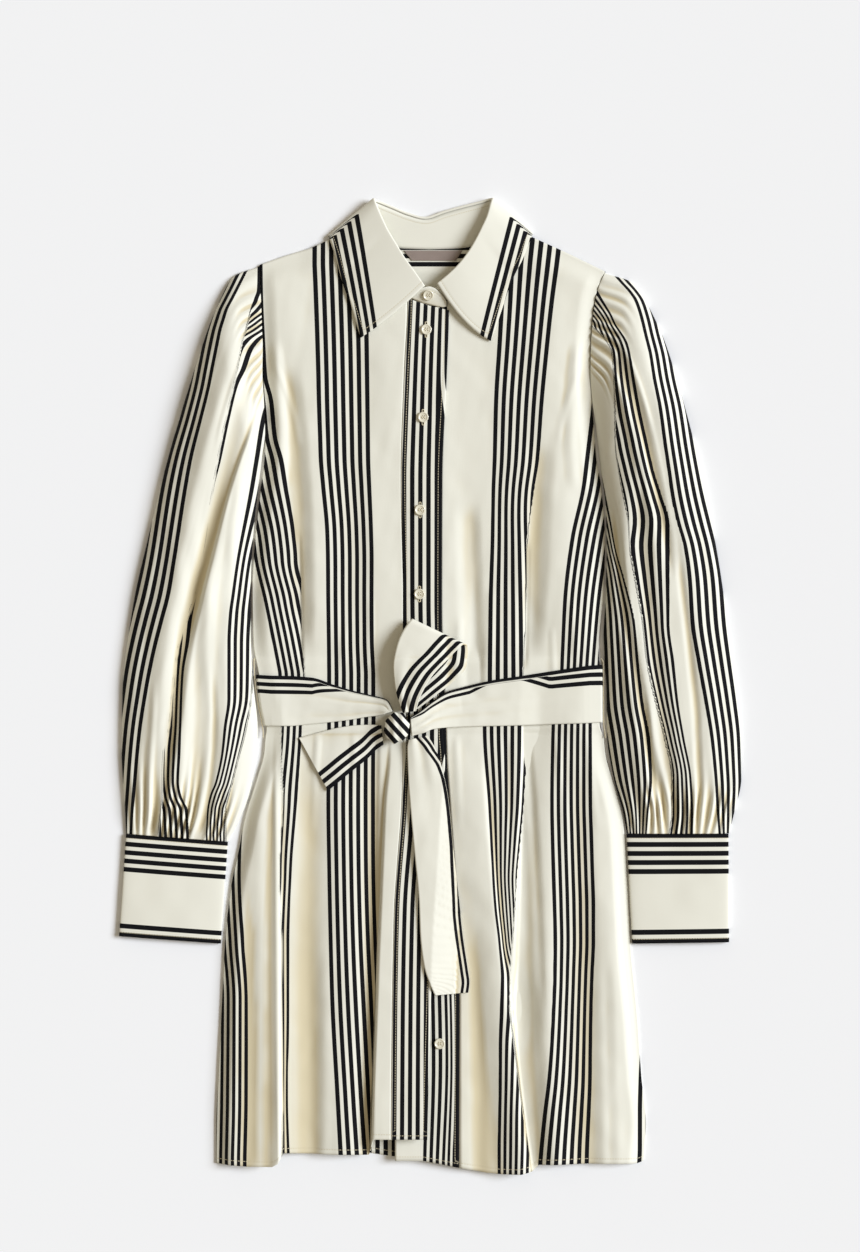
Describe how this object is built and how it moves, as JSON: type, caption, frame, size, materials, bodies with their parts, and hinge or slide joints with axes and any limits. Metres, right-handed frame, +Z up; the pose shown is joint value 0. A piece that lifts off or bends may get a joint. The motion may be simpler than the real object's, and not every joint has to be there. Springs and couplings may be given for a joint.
{
  "type": "shirt dress",
  "caption": "Short shirt dress laid flat, with a pointed collar, full sleeves gathered into deep cuffs, a button front and a tied belt.",
  "frame": {"origin": "on the flat underside at the waist, midway between the sleeves' cuffs, where the dress lies on its back", "axes": "+Y from the hem to the collar, +Z up out of the front of the dress, +X towards the wearer's left sleeve"},
  "size_m": [0.6234, 0.9767, 0.027],
  "materials": {
    "striped_cotton": "crisp cotton poplin, cream with groups of near-black stripes",
    "belt_cotton": "the same cotton cut lengthways, with stripes along one edge",
    "carrier_thread": "cream thread",
    "label_tape": "taupe woven tape, bare",
    "button_resin": "pale cream, softly polished"
  },
  "bodies": {
    "root": {"back_panel": "striped_cotton", "back_yoke": "striped_cotton", "front_right": "striped_cotton", "front_left": "striped_cotton", "button_band": "striped_cotton", "placket": "striped_cotton", "collar_stand": "striped_cotton", "collar_fall": "striped_cotton", "sleeve_right": "striped_cotton", "sleeve_left": "striped_cotton", "cuff_right": "striped_cotton", "cuff_left": "striped_cotton", "belt_waist": "belt_cotton", "belt_knot": "belt_cotton", "belt_loop": "belt_cotton", "belt_tail_short": "belt_cotton", "belt_tail_long": "belt_cotton", "belt_carrier_right": "carrier_thread", "belt_carrier_left": "carrier_thread", "neck_label": "label_tape", "button_1": "button_resin", "button_2": "button_resin", "button_3": "button_resin", "button_4": "button_resin", "button_5": "button_resin", "button_6": "button_resin", "button_7": "button_resin", "button_8": "button_resin", "button_9": "button_resin", "button_10": "button_resin"}
  },
  "joints": []
}
